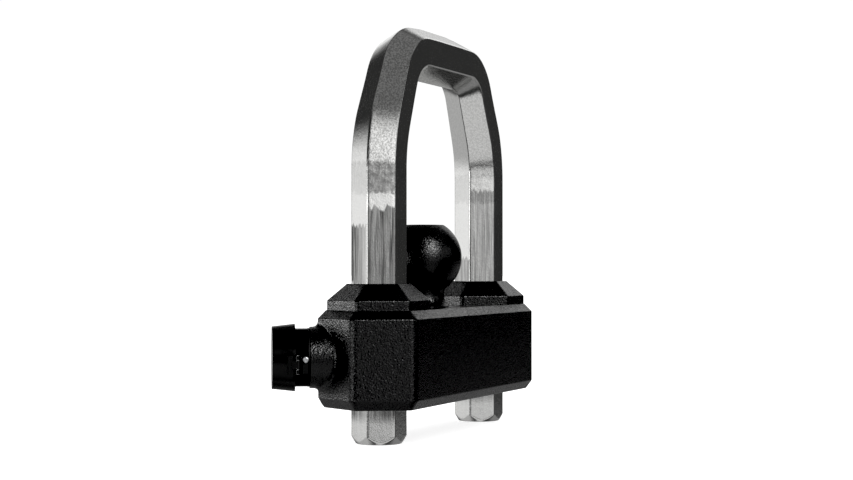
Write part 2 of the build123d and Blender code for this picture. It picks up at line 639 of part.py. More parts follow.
with BuildPart() as hinge_bracket:
    # leaf, hollowed to sit on the barrel
    with BuildSketch(upright(HINGE_Y)):
        with Locations((LEAF_TOP, LEAF_START)):
            Rectangle(LEAF_DEPTH, LEAF_END - LEAF_START, align=(Align.MAX, Align.MIN))
    extrude(amount=HINGE_HALF, both=True)
    # ears above and below the cap's knuckle
    for side in (1, -1):
        with BuildSketch(upright(HINGE_Y + side * HINGE_HALF)):
            with Locations((HINGE_X, HINGE_T)):
                Circle(KNUCKLE_R)
            with BuildLine():
                Polyline(
                    (HINGE_X - KNUCKLE_R, HINGE_T),
                    (HINGE_X - KNUCKLE_R, LEAF_START + LEAF_EAR_STEP),
                    (LEAF_TOP, LEAF_START + LEAF_EAR_STEP),
                    (LEAF_TOP, LEAF_END),
                    (HINGE_X + KNUCKLE_R, HINGE_T - EAR_CHIN),
                    (HINGE_X + KNUCKLE_R, HINGE_T),
                    close=True,
                )
            make_face()
        extrude(amount=side * (HINGE_HALF - KNUCKLE_HALF - GAP))
    lock_disc(BARREL_R, BOSS_END, BARREL_END, mode=Mode.SUBTRACT)
    with BuildSketch(upright(HINGE_Y)):
        with Locations((HINGE_X, HINGE_T)):
            Circle(PIN_R)
    extrude(amount=HINGE_HALF + 1, both=True, mode=Mode.SUBTRACT)
    with BuildSketch(bracket_screw_plane):
        Circle(BRACKET_SCREW_R)
    extrude(amount=-LEAF_DEPTH, mode=Mode.SUBTRACT)

hinge_bracket.part.label = "hinge_bracket"
export_step(hinge_bracket.part, "parts/hinge_bracket.step")

with BuildPart() as bracket_screw:
    with BuildSketch(bracket_screw_plane):
        Circle(BRACKET_SCREW_R)
    extrude(amount=-BRACKET_SCREW_L)
    with BuildSketch(bracket_screw_plane):
        Circle(SCREW_HEAD_R)
    extrude(amount=SCREW_HEAD_H)
    head_top = bracket_screw.faces().sort_by(Axis(lock_axis.position, hinge_dir))[-1]
    fillet(head_top.edges(), SCREW_HEAD_ROUND)
    with BuildSketch(bracket_screw_plane.offset(SCREW_HEAD_H)):
        RegularPolygon(SCREW_KEY_AF / 2, 6, major_radius=False)
    extrude(amount=-SCREW_KEY_DEPTH, mode=Mode.SUBTRACT)

bracket_screw.part.label = "bracket_screw"
export_step(bracket_screw.part, "parts/bracket_screw.step")

with BuildPart() as cap_gasket:
    lock_disc(CAP_BORE_R - GASKET_PLAY, CAP_FLOOR - GASKET_T, CAP_FLOOR)

cap_gasket.part.label = "cap_gasket"
export_step(cap_gasket.part, "parts/cap_gasket.step")

with BuildPart() as core_pin:
    with BuildSketch(core_pin_plane):
        Circle(CORE_PIN_R)
    extrude(amount=BARREL_R - CORE_PIN_TIP - CORE_PIN_SUNK)

core_pin.part.label = "core_pin"
export_step(core_pin.part, "parts/core_pin.step")
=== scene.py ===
# %% [markdown]
# # A coupler lock in the studio
# The lock is a bent hexagonal steel bar, a black powder-coated body, a dummy ball and a small key
# cylinder under a hinged cap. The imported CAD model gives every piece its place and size. This
# script adds the looks: a finer bar with its wear, and a finish for every piece.

# %% Load the frame
import json
from math import cos, pi, radians, sin, sqrt, tan

import bpy
import numpy as np
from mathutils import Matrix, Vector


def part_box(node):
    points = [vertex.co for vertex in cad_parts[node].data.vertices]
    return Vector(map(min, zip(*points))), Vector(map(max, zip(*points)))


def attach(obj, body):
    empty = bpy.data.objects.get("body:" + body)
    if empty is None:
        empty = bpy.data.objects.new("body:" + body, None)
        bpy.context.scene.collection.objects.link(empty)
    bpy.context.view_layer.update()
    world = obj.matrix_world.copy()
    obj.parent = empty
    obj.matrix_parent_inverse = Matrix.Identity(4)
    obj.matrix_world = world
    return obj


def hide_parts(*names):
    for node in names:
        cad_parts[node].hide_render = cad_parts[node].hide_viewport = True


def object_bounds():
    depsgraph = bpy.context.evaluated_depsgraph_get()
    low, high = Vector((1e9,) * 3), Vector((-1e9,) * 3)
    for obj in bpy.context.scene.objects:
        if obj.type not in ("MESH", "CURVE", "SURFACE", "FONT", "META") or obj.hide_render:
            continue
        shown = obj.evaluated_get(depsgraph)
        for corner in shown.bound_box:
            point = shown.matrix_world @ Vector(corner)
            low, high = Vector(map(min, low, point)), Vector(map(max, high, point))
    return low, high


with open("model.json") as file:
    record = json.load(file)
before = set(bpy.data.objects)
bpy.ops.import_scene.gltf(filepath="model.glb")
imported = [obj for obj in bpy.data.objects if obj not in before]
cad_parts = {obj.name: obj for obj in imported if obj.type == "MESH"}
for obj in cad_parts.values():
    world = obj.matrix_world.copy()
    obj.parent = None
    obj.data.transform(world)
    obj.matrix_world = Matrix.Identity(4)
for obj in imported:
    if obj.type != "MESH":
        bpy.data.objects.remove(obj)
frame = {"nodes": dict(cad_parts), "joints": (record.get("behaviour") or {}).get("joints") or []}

cad_box = [list(corner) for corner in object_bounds()]
print("CAD box in metres:", np.round(cad_box, 4).tolist())

# %% [markdown]
# ## Units and landmarks
# Everything is in metres in the CAD frame. MM turns the millimetres of a workshop drawing into
# metres. The lock leans out of one corner of the locked leg, and the direction in which it points
# is the axis that its key turns on.

# %% Landmarks
MM = 0.001
UP = np.array([0.0, 0.0, 1.0])
foot_low, arch_high = (np.array(corner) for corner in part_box("shackle"))
floor_z = foot_low[2]
joints = {joint["name"]: joint for joint in frame["joints"]}
lock_out = np.array(joints["plug_turn"]["axis"])
lock_z = joints["plug_turn"]["pos_m"][2]
print("lock axis points", np.round(lock_out, 3), "at", round(lock_z / MM, 1), "mm up")

# %% [markdown]
# ## Camera
# A long lens from about a metre away, nearly level with the ball, looks at the corner that the
# lock grows from. A long lens keeps the two legs nearly parallel. Its length follows from two
# numbers of one unit: how wide the picture is, and how far in front of the eye it would have to be
# held to cover the real view.

# %% Camera
PICTURE_WIDTH, PICTURE_AWAY = 853, 1690
SENSOR = 36.0
CAMERA_PLACE = np.array([-979.6, -419.1, 84.2]) * MM
CAMERA_YAW, CAMERA_PITCH = radians(23.36), radians(0.79)
camera_data = bpy.data.cameras.new("camera")
camera_data.sensor_width = SENSOR
camera_data.lens = SENSOR * PICTURE_AWAY / PICTURE_WIDTH
camera_data.clip_start, camera_data.clip_end = 0.05, 50.0
camera = bpy.data.objects.new("camera", camera_data)
camera.location = CAMERA_PLACE
camera.rotation_euler = (pi / 2 + CAMERA_PITCH, 0, CAMERA_YAW - pi / 2)
bpy.context.scene.collection.objects.link(camera)
bpy.context.scene.camera = camera
print("lens", round(camera_data.lens, 1), "mm")

# %% [markdown]
# ## A hand for node trees
# Every finish below is a small graph of nodes. Adding a node, setting its choices and wiring its
# inputs takes four lines each time, so one short class does it in a single call.

# %% Node helper
class Nodes:
    """Builds a node tree: each call adds a node, sets or wires its inputs and hands it back."""

    def __init__(self, tree):
        self.tree = tree
        tree.nodes.clear()

    def add(self, kind, inputs=None, **settings):
        node = self.tree.nodes.new("ShaderNode" + kind)
        for name, value in settings.items():
            setattr(node, name, value)
        for key, value in (inputs or {}).items():
            if isinstance(value, bpy.types.NodeSocket):
                self.tree.links.new(value, node.inputs[key])
            else:
                node.inputs[key].default_value = value
        return node

    def math(self, operation, *values):
        """One arithmetic step on sockets or numbers."""
        return self.add("Math", dict(enumerate(values)), operation=operation).outputs[0]

    def step(self, value, low, high, at_low=0.0, at_high=1.0):
        """A smooth step: at_low under low, at_high over high, an S curve between."""
        limits = {"Value": value, "From Min": low, "From Max": high,
                  "To Min": at_low, "To Max": at_high}
        return self.add("MapRange", limits, interpolation_type="SMOOTHSTEP").outputs["Result"]

    def noise(self, vector, size, detail=2.0, stretch=(1, 1, 1), roughness=0.5):
        """Noise from 0 to 1, in lumps of about size metres, longer along an axis by its stretch."""
        scale = tuple(1 / (size * factor) for factor in stretch)
        place = self.add("Mapping", {"Vector": vector, "Scale": scale}).outputs["Vector"]
        inputs = {"Vector": place, "Scale": 1.0, "Detail": detail, "Roughness": roughness}
        return self.add("TexNoise", inputs).outputs["Fac"]

    def blend(self, amount, low, high):
        """A mix of two greys or sockets by amount."""
        return self.add("Mix", {"Factor": amount, "A": low, "B": high}).outputs["Result"]

# %% [markdown]
# ## Floor
# A studio stands such a piece on white paper that fades into a white wall. A large square with a
# matt white finish that also glows a little does the same, and leaves only a faint shadow. It is
# left out of the reflections, because the steel would show it as one hard pale edge.

# %% Floor
FLOOR_REACH = 12.0
floor_mesh = bpy.data.meshes.new("floor")
FLOOR_SQUARE = ((-1, -1), (1, -1), (1, 1), (-1, 1))
floor_corners = [(x * FLOOR_REACH, y * FLOOR_REACH, floor_z) for x, y in FLOOR_SQUARE]
floor_mesh.from_pydata(floor_corners, [], [(0, 1, 2, 3)])
floor = bpy.data.objects.new("floor", floor_mesh)
bpy.context.scene.collection.objects.link(floor)
floor.visible_glossy = False

FLOOR_GREY, FLOOR_GLOW = 0.9, 0.72
paper = bpy.data.materials.new("paper")
paper.use_nodes = True
paper.cycles.emission_sampling = "NONE"
n = Nodes(paper.node_tree)
matt = n.add("BsdfDiffuse", {"Color": (FLOOR_GREY, FLOOR_GREY, FLOOR_GREY, 1)})
glow = n.add("Emission", {"Strength": FLOOR_GLOW})
both = n.add("AddShader", {0: matt.outputs[0], 1: glow.outputs[0]})
n.add("OutputMaterial", {"Surface": both.outputs[0]})
floor_mesh.materials.append(paper)
print("floor at", round(floor_z / MM, 1), "mm")

# %% [markdown]
# ## Room
# Steel and glossy paint show nothing but the room they stand in, so what makes them look right is
# where the lights are, how sharp their edges are, and how much darkness is left between them. The
# room is drawn on the sky as a list of soft boxes. Each is a patch, given in degrees: where its
# middle is, how wide it is to each side, and between which heights it reaches. Its sides, its
# bottom and its top each have their own softness. Patches below the horizon are the table top that
# the reflections show instead of the floor. The camera and matt surfaces see plain white.

# %% Soft boxes
# columns: middle azimuth, half width and its softness; bottom and its softness; top and its
# softness; brightness
SOFT_BOXES = [
    (233, 21, 3, 0.3, 1.2, 36, 16, 1.25),  # large box on the camera's right
    (233, 21, 3, -9.5, 1.5, 0.3, 1.2, 0.66),  # its dimmer skirt
    (97, 13, 5, -5, 6, 15, 7, 0.95),  # box on the lock's side
    (156, 50, 6, -12, 6, 6, 6, 0.15),  # long low box between the two
    (1, 12, 6, 14, 8, 38, 8, 1.2),  # white backdrop behind
    (22, 10, 5, 8, 6, 30, 8, 0.6),  # its dimmer end
    (300, 18, 8, 31, 8, 59, 8, 0.12),  # dim window on the long side
    (46, 15, 6, -8, 4, 28, 8, 1.0),  # box behind, on the lock's side
    (280, 16, 6, 4, 4, 26, 8, 0.8),  # box behind, on the other side
    (215, 400, 1, 47, 8, 120, 8, 0.15),  # ceiling
]
TABLE_BOXES = [
    (215, 34, 8, -96, 2, -15, 2, 0.62),  # pale table top in front
    (97, 40, 15, -96, 6, -4, 6, 0.45),  # the table on the lock's side
    (335, 40, 15, -96, 4, -6, 1.5, 0.2),  # the table beyond the long side
    (20, 20, 12, -96, 6, -10, 6, 0.16),  # the table behind
]
print(len(SOFT_BOXES), "soft boxes and", len(TABLE_BOXES), "patches of table")

# %% Room
DARK = 0.044  # the room between the boxes
PLAIN_WHITE = 1.02  # what the camera and matt surfaces see
IN_DEGREES = 180 / pi

world = bpy.data.worlds.new("room")
bpy.context.scene.world = world
world.use_nodes = True
world.cycles.sampling_method = "NONE"
w = Nodes(world.node_tree)
ahead = w.add("SeparateXYZ", {"Vector": w.add("TexCoord").outputs["Generated"]}).outputs
azimuth = w.math("MULTIPLY", w.math("ARCTAN2", ahead["Y"], ahead["X"]), IN_DEGREES)
height = w.math("MULTIPLY", w.math("ARCSINE", ahead["Z"]), IN_DEGREES)
light = DARK
for box in SOFT_BOXES + TABLE_BOXES:
    middle, half_width, soft_across, bottom, soft_bottom, top, soft_top, bright = box
    across = w.math("ABSOLUTE", w.math("WRAP", w.math("SUBTRACT", azimuth, middle), 180, -180))
    beside = w.step(across, half_width - soft_across, half_width + soft_across, bright, 0)
    over = w.step(height, bottom - soft_bottom, bottom + soft_bottom)
    under = w.step(height, top - soft_top, top + soft_top, 1, 0)
    light = w.math("ADD", light, w.math("MULTIPLY", beside, w.math("MULTIPLY", over, under)))
ray = w.add("LightPath").outputs
plain = w.math("MAXIMUM", ray["Is Camera Ray"], ray["Is Diffuse Ray"])
shown = w.blend(plain, light, PLAIN_WHITE)
sky = w.add("Background", {"Color": (1, 1, 1, 1), "Strength": shown})
w.add("OutputWorld", {"Surface": sky.outputs["Background"]})
print("the room has", len(world.node_tree.nodes), "nodes")

# %% [markdown]
# ## Blacks
# The black pieces are nearly as dark as the picture can show. A curve that takes the last trace of
# grey away keeps them deep, and leaves every lighter tone almost where it was.

# %% Black point
view = bpy.context.scene.view_settings
view.view_transform = "Standard"
BLACK_POINT = 0.012
view.use_curve_mapping = True
view.curve_mapping.black_level = (BLACK_POINT,) * 3
view.curve_mapping.update()
print("black starts at", BLACK_POINT)

# %% [markdown]
# ## Lamps
# The lamps are small, and brighter than the boxes. A ray that finds such a spot by luck leaves a
# white speck, so they are real area lights, which are aimed at and so come out smooth. Light
# linking keeps each one to its own pieces. Four light the CAD's pieces, nearly all of them black,
# and give the coat its glints. One puts a soft line on the rounded edges of the steel bar.

# %% Lamps
LAMP_AWAY = 2.0
LAMP_WATTS = 4.0  # watts from one square metre of lamp, for each unit of brightness
# columns: azimuth, level, half width and half height, all in degrees; brightness; what it lights
LAMPS = [
    (234, 30, 10, 10, 13.0, "black"),  # inside the large box
    (97, 6.5, 12, 8, 4.6, "black"),  # in front of the box on the lock's side
    (154, -2, 12, 5, 5.0, "black"),  # low, for the soft upright edge of the body
    (178, 16, 6, 6, 7.0, "black"),  # high between the two
    (152, 0, 20, 5, 2.2, "steel"),  # low between the two
]
lit = {name: bpy.data.collections.new(f"lit_{name}") for name in ("black", "steel")}
for node in frame["nodes"].values():
    lit["black"].objects.link(node)
middle_of_all = (np.array(cad_box[0]) + np.array(cad_box[1])) / 2
for number, (turn, level, half_width, half_height, bright, lights) in enumerate(LAMPS):
    turn, level = radians(turn), radians(level)
    out_to_it = np.array([cos(level) * cos(turn), cos(level) * sin(turn), sin(level)])
    lamp = bpy.data.lights.new(f"lamp_{number}", "AREA")
    lamp.shape = "RECTANGLE"
    lamp.size = 2 * LAMP_AWAY * tan(radians(half_width))
    lamp.size_y = 2 * LAMP_AWAY * tan(radians(half_height))
    lamp.energy = LAMP_WATTS * bright * lamp.size * lamp.size_y
    hung = bpy.data.objects.new(f"lamp_{number}", lamp)
    hung.location = middle_of_all + LAMP_AWAY * out_to_it
    hung.rotation_euler = (pi / 2 - level, 0, turn + pi / 2)
    hung.visible_camera = False
    hung.visible_diffuse = False
    hung.light_linking.receiver_collection = lit[lights]
    bpy.context.scene.collection.objects.link(hung)
    print(lamp.name, "is", round(lamp.size, 2), "by", round(lamp.size_y, 2), "m")

# %% [markdown]
# ## The bar's shape
# The real bar is a length of drawn hexagonal steel, bent in a die. So the surface is a rounded
# hexagon carried along a line in one plane. Two numbers give every point: how far round the
# section, and how far along the line. The line is straight runs joined by arcs.

# %% Sizes of the bar
BAR_AF, BAR_ROUND = 28.575 * MM, 1.35 * MM  # across flats, and the rounding of its edges
SHOULDER_Z, SLOPE_X = 156.6 * MM, 52.9 * MM  # where the legs lean in, and where the crown starts
SHOULDER_R, CROWN_R = 75.0 * MM, 30.0 * MM  # the bends' radii
LINE_STEP, BEND_STEP = 2.5 * MM, radians(1.5)
bar_reach = BAR_AF / sqrt(3) - BAR_ROUND * (2 / sqrt(3) - 1)  # centre to a rounded corner
leg_x = arch_high[0] - bar_reach
arch_z = arch_high[2] - bar_reach
print("legs", round(2 * leg_x / MM, 1), "mm apart, arch", round(arch_z / MM, 1), "mm up")

# %% The line of the bar
def bent_line(corners, radii, straight_step, arc_step):
    """Points, headings and lengths along straight runs joined by arcs of the given radii.

    At each corner the line turns by an angle a, and an arc of radius r takes r * tan(a / 2) off
    both runs. Points on the arc are centre + r * (cos, sin) of an angle that runs through a."""
    corners = [np.array(c, dtype=float) for c in corners]
    points, headings = [], []
    start = corners[0]
    runs = zip(corners, corners[1:], corners[2:] + [None], radii + [None])
    for before, corner, after, radius in runs:
        run = (corner - before) / np.linalg.norm(corner - before)
        if after is None:
            end = corner
        else:
            leave = (after - corner) / np.linalg.norm(after - corner)
            turn = np.arctan2(run[0] * leave[1] - run[1] * leave[0], run @ leave)
            end = corner - run * radius * tan(abs(turn) / 2)
        count = max(2, int(np.linalg.norm(end - start) / straight_step))
        share = np.linspace(0, 1, count, endpoint=False)[:, None]
        points.append(start + (end - start) * share)
        headings.append(np.repeat(run[None], count, axis=0))
        if after is not None:
            side = np.array([-run[1], run[0]]) * np.sign(turn)
            centre = end + side * radius
            steps = max(3, int(abs(turn) / arc_step))
            angles = turn * np.linspace(0, 1, steps, endpoint=False)
            spin = np.stack([np.cos(angles), np.sin(angles)], axis=1)
            points.append(centre + radius * (-side * spin[:, :1] + run * np.abs(spin[:, 1:])))
            headings.append(run * spin[:, :1] + side * np.abs(spin[:, 1:]))
            start = centre + radius * (-side * cos(turn) + run * sin(abs(turn)))
    points.append(corners[-1][None])
    headings.append(run[None])
    points, headings = np.concatenate(points), np.concatenate(headings)
    steps = np.linalg.norm(np.diff(points, axis=0), axis=1)
    return points, headings, np.concatenate([[0], np.cumsum(steps)])

line_corners = [(-leg_x, floor_z), (-leg_x, SHOULDER_Z), (-SLOPE_X, arch_z),
                (SLOPE_X, arch_z), (leg_x, SHOULDER_Z), (leg_x, floor_z)]
bar_line, bar_heading, bar_length = bent_line(
    line_corners, [SHOULDER_R, CROWN_R, CROWN_R, SHOULDER_R], LINE_STEP, BEND_STEP)
print("bar", round(bar_length[-1] / MM), "mm long in", len(bar_line), "steps")

# %% [markdown]
# ### The section
# Drawn bar has no sharp corners: the die leaves each edge slightly round, and that rounding is
# what catches a thin line of light. So the hexagon is laid out with an arc at each corner. The
# flats get points of their own too, because the turned feet cut a curve into them.

# %% Rounded hexagon
EDGE_POINTS, FLAT_POINTS = 6, 13

def rounded_polygon(sides, across_flats, edge_radius, arc_points, flat_points):
    """A polygon whose corners are arcs, as x, y and the direction each point faces.

    The corner arcs' centres lie on a smaller polygon, edge_radius inside the flats. Each arc
    swings through 360 / sides degrees about its corner's own direction."""
    centre_r = (across_flats / 2 - edge_radius) / cos(pi / sides)
    corner_at = np.arange(sides) * 2 * pi / sides
    swing = np.linspace(-pi / sides, pi / sides, arc_points)
    facing = corner_at[:, None] + swing[None]
    centres = np.stack([np.cos(corner_at), np.sin(corner_at)], axis=1)[:, None] * centre_r
    arcs = centres + edge_radius * np.stack([np.cos(facing), np.sin(facing)], axis=2)
    after = np.roll(arcs, -1, axis=0)[:, :1]
    share = np.arange(1, flat_points + 1)[None, :, None] / (flat_points + 1)
    flats = arcs[:, -1:] * (1 - share) + after * share
    faces = np.repeat(facing[:, -1:], flat_points, axis=1)
    outline = np.concatenate([arcs, flats], axis=1).reshape(-1, 2)
    return outline, np.concatenate([facing, faces], axis=1).reshape(-1)

section, section_facing = rounded_polygon(6, BAR_AF, BAR_ROUND, EDGE_POINTS, FLAT_POINTS)
print(len(section), "points round the bar")

# %% [markdown]
# ### From a grid of points to a mesh
# A surface of two parameters is a grid of points, and each little square of the grid is a face.
# The face numbers are worked out as whole arrays. The same grid gives the map that the steel's
# streaks follow, because it already knows how far along and how far round every point is.

# %% Grid to mesh
CREASE = radians(40)  # edges sharper than this stay hard

def grid_piece(name, points):
    """A closed mesh from a grid of points, rows along and columns round.

    Rows join to the next row, and the last column to the first. Each end is closed with a fan
    about the middle of its row. A UV map named 'along' holds the distance round in metres, which
    is split at the seam, and the row's distance along."""
    rows, columns = points.shape[:2]
    row, column = np.meshgrid(np.arange(rows - 1), np.arange(columns), indexing="ij")
    following = (column + 1) % columns
    here, above = row * columns, (row + 1) * columns
    quads = np.stack([here + column, here + following, above + following, above + column], axis=2)
    around = np.concatenate([points, points[:, :1]], axis=1)
    round_lengths = np.linalg.norm(np.diff(around, axis=1), axis=2).mean(axis=0)
    round_at = np.concatenate([[0], np.cumsum(round_lengths)])
    along_lengths = np.linalg.norm(np.diff(points, axis=0), axis=2).mean(axis=1)
    along_at = np.concatenate([[0], np.cumsum(along_lengths)])
    left, right = round_at[column], round_at[column + 1]
    low, high = along_at[row], along_at[row + 1]
    corner_u = np.stack([left, right, right, left], axis=2)
    corner_v = np.stack([low, low, high, high], axis=2)
    uv = np.stack([corner_u, corner_v], axis=3).reshape(-1, 2)
    vertices = points.reshape(-1, 3)
    faces = quads.reshape(-1, 4).tolist()
    for end in (0, rows - 1):
        middle = len(vertices)
        vertices = np.concatenate([vertices, points[end].mean(axis=0)[None]])
        ring = end * columns + np.arange(columns)
        beside = np.roll(ring, -1)
        fan = [beside, ring] if end == 0 else [ring, beside]
        faces += np.stack(fan + [np.full(columns, middle)], axis=1).tolist()
        uv = np.concatenate([uv, np.zeros((columns * 3, 2))])
    mesh = bpy.data.meshes.new(name)
    mesh.from_pydata(vertices.tolist(), [], faces)
    layer = mesh.uv_layers.new(name="along")
    layer.data.foreach_set("uv", uv.ravel())
    piece = bpy.data.objects.new(name, mesh)
    bpy.context.scene.collection.objects.link(piece)
    mesh.shade_smooth()
    mesh.set_sharp_from_angle(angle=CREASE)
    return piece

# %% [markdown]
# ### Feet
# The feet have a turned chamfer: a cone takes the six corners off but leaves the flats. A point of
# the section that is further from the bar's middle than the cone is drawn in to it, so the cone's
# edge on each flat is a curve, as it is on a nut. Rows of points lie closer together there.

# %% Feet
FOOT_CIRCLE_R, FOOT_CHAMFER_H = 13.4 * MM, 4.8 * MM
FOOT_EDGE = 0.4 * MM  # the small rounding of the foot's rim
FOOT_ROWS, FOOT_CROWDING = 16, 1.2
EDGE_ROWS = FOOT_EDGE * np.array([0.1, 0.35, 0.65])
FOOT_END = FOOT_CHAMFER_H * 1.2  # the even steps of the line start above this
chamfer = np.linspace(0, 1, FOOT_ROWS) ** FOOT_CROWDING
chamfer_rows = FOOT_EDGE + (FOOT_CHAMFER_H - FOOT_EDGE) * chamfer
near_foot = np.concatenate([[0], EDGE_ROWS, chamfer_rows])
inner = (bar_length > FOOT_END) & (bar_length < bar_length[-1] - FOOT_END)
stations = np.concatenate([near_foot, bar_length[inner], bar_length[-1] - near_foot[::-1]])

from_end = np.minimum(stations, bar_length[-1] - stations)
bar_corner_r = BAR_AF / sqrt(3)
cone_r = FOOT_CIRCLE_R + (bar_corner_r - FOOT_CIRCLE_R) * from_end / FOOT_CHAMFER_H
to_rim = np.maximum(FOOT_EDGE - from_end, 0)
foot_round = FOOT_EDGE - np.sqrt(np.maximum(FOOT_EDGE**2 - to_rim**2, 0))
section_r = np.linalg.norm(section, axis=1)
keep = np.minimum(1, (cone_r[:, None] - foot_round[:, None]) / section_r[None])
print(len(stations), "rows, of which", len(near_foot), "on each foot")

# %% [markdown]
# ### Bends
# In the bends the die has pressed the outside of the bar a little flat, and its two sides
# together. So the section is drawn in there, by a share that grows smoothly from the straight leg
# into the bend. The crown between the two bends was never in the die, and its top keeps its shape.

# %% Bar
BEND_START, BEND_FULL, TOP_FREE = 164 * MM, 198 * MM, 20 * MM
BEND_FLAT, BEND_PRESS = 0.13, 0.05  # how much of the outside and of the width is pressed away

def carried(values):
    """The values of the even steps of the line, read off at the stations."""
    columns = [np.interp(stations, bar_length, values[:, axis]) for axis in (0, 1)]
    return np.stack(columns, axis=1)

line, heading = carried(bar_line), carried(bar_heading)
inward = np.stack([heading[:, 1], -heading[:, 0]], axis=1)
pressed = np.interp(line[:, 1], [BEND_START, BEND_FULL], [0, 1])
pressed = (pressed * pressed * (3 - 2 * pressed))[:, None]
free_top = np.interp(np.abs(line[:, 0]), [TOP_FREE, SLOPE_X], [0, 1])[:, None]
outer = np.clip(-section[:, 0] / section_r.max(), 0, 1)[None]
across_bar = section[None, :, 0] * (1 - BEND_FLAT * pressed * free_top * outer)
over_bar = section[None, :, 1] * (1 - BEND_PRESS * pressed)
bar_points = np.empty((len(stations), len(section), 3))
bar_points[..., 0] = line[:, :1] + inward[:, :1] * across_bar * keep
bar_points[..., 1] = over_bar * keep
bar_points[..., 2] = line[:, 1:] + inward[:, 1:] * across_bar * keep
bar = grid_piece("shackle_bar", bar_points[:, ::-1])
print("bar mesh:", len(bar.data.polygons), "faces")

# %% [markdown]
# ### Wear
# The body slides up and down on the legs, and its guide rings rub them. So each face of each leg
# is rubbed up to some height, more or less strongly. On the near leg's face at 150 degrees the
# darkening, stronger towards one edge, is painted reflection as well as rub: it stands in for a
# dark band of the room that the steel reflects there. The mesh carries three numbers for this: how
# far a point is below the top of the rubbed part, how strong the rub and that painted reflection
# are there, and how strongly the bending die has marked that face.

# %% Rub
# direction a face looks in, in degrees, height of the rub in mm, strength, how much it weakens
# from one edge of the face to the other, and how strong the die's mark is on that face
# on the near leg, the row at 150 degrees is painted reflection as well as rub: its darkening up to
# 107 mm, stronger towards one edge, stands in for a dark band of the room seen in the steel
NEAR_RUB_AND_REFLECTION = [(30, 118, 0.7, 0.0, 0.8), (90, 104, 0.6, 0.3, 0.1), (150, 107, 0.85, -0.6, 0.25),
            (210, 117, 1.0, 0.1, 0.9), (270, 112, 0.2, 0.0, 0.1), (330, 121, 0.8, 0.2, 0.7)]
FAR_RUB = [(30, 112, 0.7, 0.2, 0.7), (90, 104, 0.6, 0.0, 0.1), (150, 88, 0.7, 0.0, 0.2),
           (210, 133, 0.75, 0.0, 0.4), (270, 118, 0.2, 0.2, 0.1), (330, 110, 0.8, 0.3, 0.8)]
RUB_FOOT, RUB_FADE = -4 * MM, 6 * MM  # below this height the rub fades away to the feet
RUB_LEFT = 0.12  # what is left of it there

def rub_of(facing, table):
    """The row of a table, without its direction, for faces that look in some directions."""
    gap = np.abs((facing[:, None] - np.array([row[0] for row in table]) + 180) % 360 - 180)
    nearest = gap.argmin(axis=1)
    return np.array([row[1:] for row in table])[nearest]

def across_face(facing, outline):
    """Where each point of the section lies across its own flat, from -1 at one edge to 1."""
    flat = np.round((facing - 30) / 60) * 60 + 30
    along_flat = np.stack([-np.sin(np.radians(flat)), np.cos(np.radians(flat))], axis=1)
    return np.clip((outline * along_flat).sum(axis=1) / (BAR_AF / 2 * tan(pi / 6)), -1, 1)

turned = np.degrees(section_facing) % 360
across = across_face(turned, section)
near_rub_and_reflection = rub_of(turned, NEAR_RUB_AND_REFLECTION)
far_rub = rub_of((180 - turned) % 360, FAR_RUB)
on_near = (line[:, 0] < 0)[:, None]
rub_top = np.where(on_near, near_rub_and_reflection[None, :, 0], far_rub[None, :, 0]) * MM
# strength of the rub, and on the near leg's face at 150 degrees of the painted dark reflection too
rub_and_reflection_lean = np.where(on_near, near_rub_and_reflection[None, :, 2] * across, -far_rub[None, :, 2] * across)
rub_and_reflection_strength = np.where(on_near, near_rub_and_reflection[None, :, 1], far_rub[None, :, 1]) * (1 + rub_and_reflection_lean)
rub_and_reflection_strength *= np.clip((bar_points[..., 2] - RUB_FOOT) / RUB_FADE + 1, RUB_LEFT, 1)
die_strength = np.where(on_near, near_rub_and_reflection[None, :, 3], far_rub[None, :, 3])
wear = {"rub_depth": rub_top - bar_points[..., 2], "rub_and_reflection_strength": rub_and_reflection_strength,
        "die_strength": die_strength}
for title, values in wear.items():
    ends = [values[0].mean(), values[-1].mean()]
    numbers = np.concatenate([values[:, ::-1].ravel(), ends])
    layer = bar.data.attributes.new(title, "FLOAT", "POINT")
    layer.data.foreach_set("value", numbers.astype(np.float32))
print("rubbed up to", round(rub_top.max() / MM), "mm")

# %% [markdown]
# ### Notches
# The notches that the bolt drops into are cut into one corner of the locked leg. They are hidden
# while the bar is down, and show when it is drawn up. A hole through a finished surface is a job
# for a boolean, applied at once so that the mesh is final.

# %% Notches
NOTCH_PITCH, NOTCH_R, NOTCH_FLOOR = 12.7 * MM, 4.8 * MM, 12.0 * MM
NOTCH_STEPS = (-1, 0, 1, 2, 3)
DRILL_POINTS = 48

def cut(piece, cutter):
    """Takes the cutter's shape out of a piece with an exact boolean, and throws the cutter away."""
    step = piece.modifiers.new("cut", "BOOLEAN")
    step.operation, step.object, step.solver = "DIFFERENCE", cutter, "EXACT"
    graph = bpy.context.evaluated_depsgraph_get()
    result = bpy.data.meshes.new_from_object(piece.evaluated_get(graph))
    piece.modifiers.remove(step)
    piece.data = result
    bpy.data.objects.remove(cutter)

def level_drill(name, start, end, radius):
    """A plain closed cylinder between two points of one height: two rings and their caps.

    A point of a ring is centre + radius * (cos a * side + sin a * over)."""
    way = (end - start) / np.linalg.norm(end - start)
    side = np.cross(way, UP)
    side /= np.linalg.norm(side)
    over = np.cross(way, side)
    turn = np.linspace(0, 2 * pi, DRILL_POINTS, endpoint=False)
    ring = radius * (np.cos(turn)[:, None] * side + np.sin(turn)[:, None] * over)
    return grid_piece(name, np.stack([start + ring, end + ring]))

